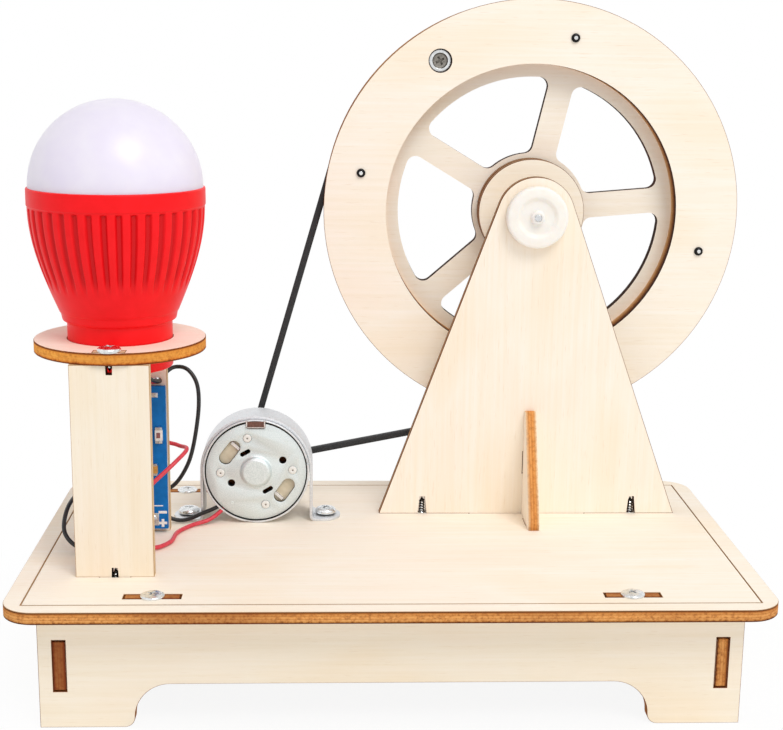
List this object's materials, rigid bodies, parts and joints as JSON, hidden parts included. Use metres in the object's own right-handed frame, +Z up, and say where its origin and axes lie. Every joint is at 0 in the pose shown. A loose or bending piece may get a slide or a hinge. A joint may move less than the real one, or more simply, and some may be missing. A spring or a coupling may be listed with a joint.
{
  "type": "hand crank generator",
  "caption": "Hand crank generator: a plywood wheel with a handle drives a small motor by a rubber belt, and the motor lights a lamp on a post.",
  "frame": {"origin": "on the ground, under the middle of the model's box", "axes": "+Z up, +X along the plate from the lamp to the wheel, +Y from the front to the side with the handle"},
  "size_m": [0.188, 0.1204, 0.1727],
  "materials": {
    "plywood": "matt, bare",
    "screw_steel": "zinc plated",
    "axle_steel": "ground",
    "plated_steel": "satin plated",
    "nylon": "slightly translucent",
    "circuit_board": "solder mask",
    "board_parts": "mixed small parts",
    "foam": "adhesive foam",
    "red_plastic": "satin",
    "white_plastic": "milky, diffusing",
    "led_board": "white mask",
    "beige_plastic": "translucent",
    "brush_copper": "spring strip",
    "magnet": "ferrite",
    "bronze": "sintered",
    "armature": "laminated core with windings",
    "commutator": "copper",
    "beech": "turned, sanded",
    "rubber": "matt",
    "red_lead": "PVC",
    "black_lead": "PVC"
  },
  "bodies": {
    "frame": {"base_plate": "plywood", "front_skirt": "plywood", "rear_skirt": "plywood", "left_side_panel": "plywood", "right_side_panel": "plywood", "base_screws": "screw_steel", "post_front_board": "plywood", "post_rear_board": "plywood", "lamp_platform": "plywood", "post_screws": "screw_steel", "platform_screws": "screw_steel", "converter_board": "circuit_board", "converter_parts": "board_parts", "board_pad": "foam", "bulb_housing": "red_plastic", "bulb_dome": "white_plastic", "bulb_led_board": "led_board", "motor_can": "plated_steel", "motor_end_cap": "plated_steel", "motor_brush_holder": "beige_plastic", "motor_brushes": "brush_copper", "motor_magnets": "magnet", "motor_bushes": "bronze", "motor_bracket": "plated_steel", "bracket_screws": "screw_steel", "axle_support": "plywood", "support_brace": "plywood", "support_screws": "screw_steel", "drive_belt": "rubber", "motor_lead_red": "red_lead", "motor_lead_black": "black_lead", "lamp_lead_red": "red_lead", "lamp_lead_black": "black_lead"},
    "wheel": {"wheel_front_ring": "plywood", "wheel_core_ring": "plywood", "wheel_spoked_disc": "plywood", "hub_front_disc": "plywood", "hub_middle_disc": "plywood", "rim_screws": "screw_steel", "axle": "axle_steel", "axle_spacer": "nylon", "axle_front_cap": "nylon", "axle_rear_cap": "nylon", "crank_screw": "screw_steel", "crank_nuts": "screw_steel"},
    "handle": {"crank_handle": "beech"},
    "rotor": {"motor_shaft": "axle_steel", "motor_armature": "armature", "motor_commutator": "commutator", "motor_pulley": "nylon"}
  },
  "joints": [
    {"name": "wheel_spin", "type": "hinge", "parent": "frame", "child": "wheel", "pos_m": [0.03695, 0.0257, 0.1157], "axis": [0, 1, 0], "continuous": true},
    {"name": "handle_spin", "type": "hinge", "parent": "wheel", "child": "handle", "pos_m": [0.01116, 0.0449, 0.15618], "axis": [0, 1, 0], "continuous": true},
    {"name": "rotor_spin", "type": "hinge", "parent": "frame", "child": "rotor", "pos_m": [-0.03805, 0.0257, 0.04695], "axis": [0, 1, 0], "continuous": true}
  ],
  "couplings": [
    {"joint": "rotor_spin", "follows": "wheel_spin", "ratio": 18.064}
  ]
}
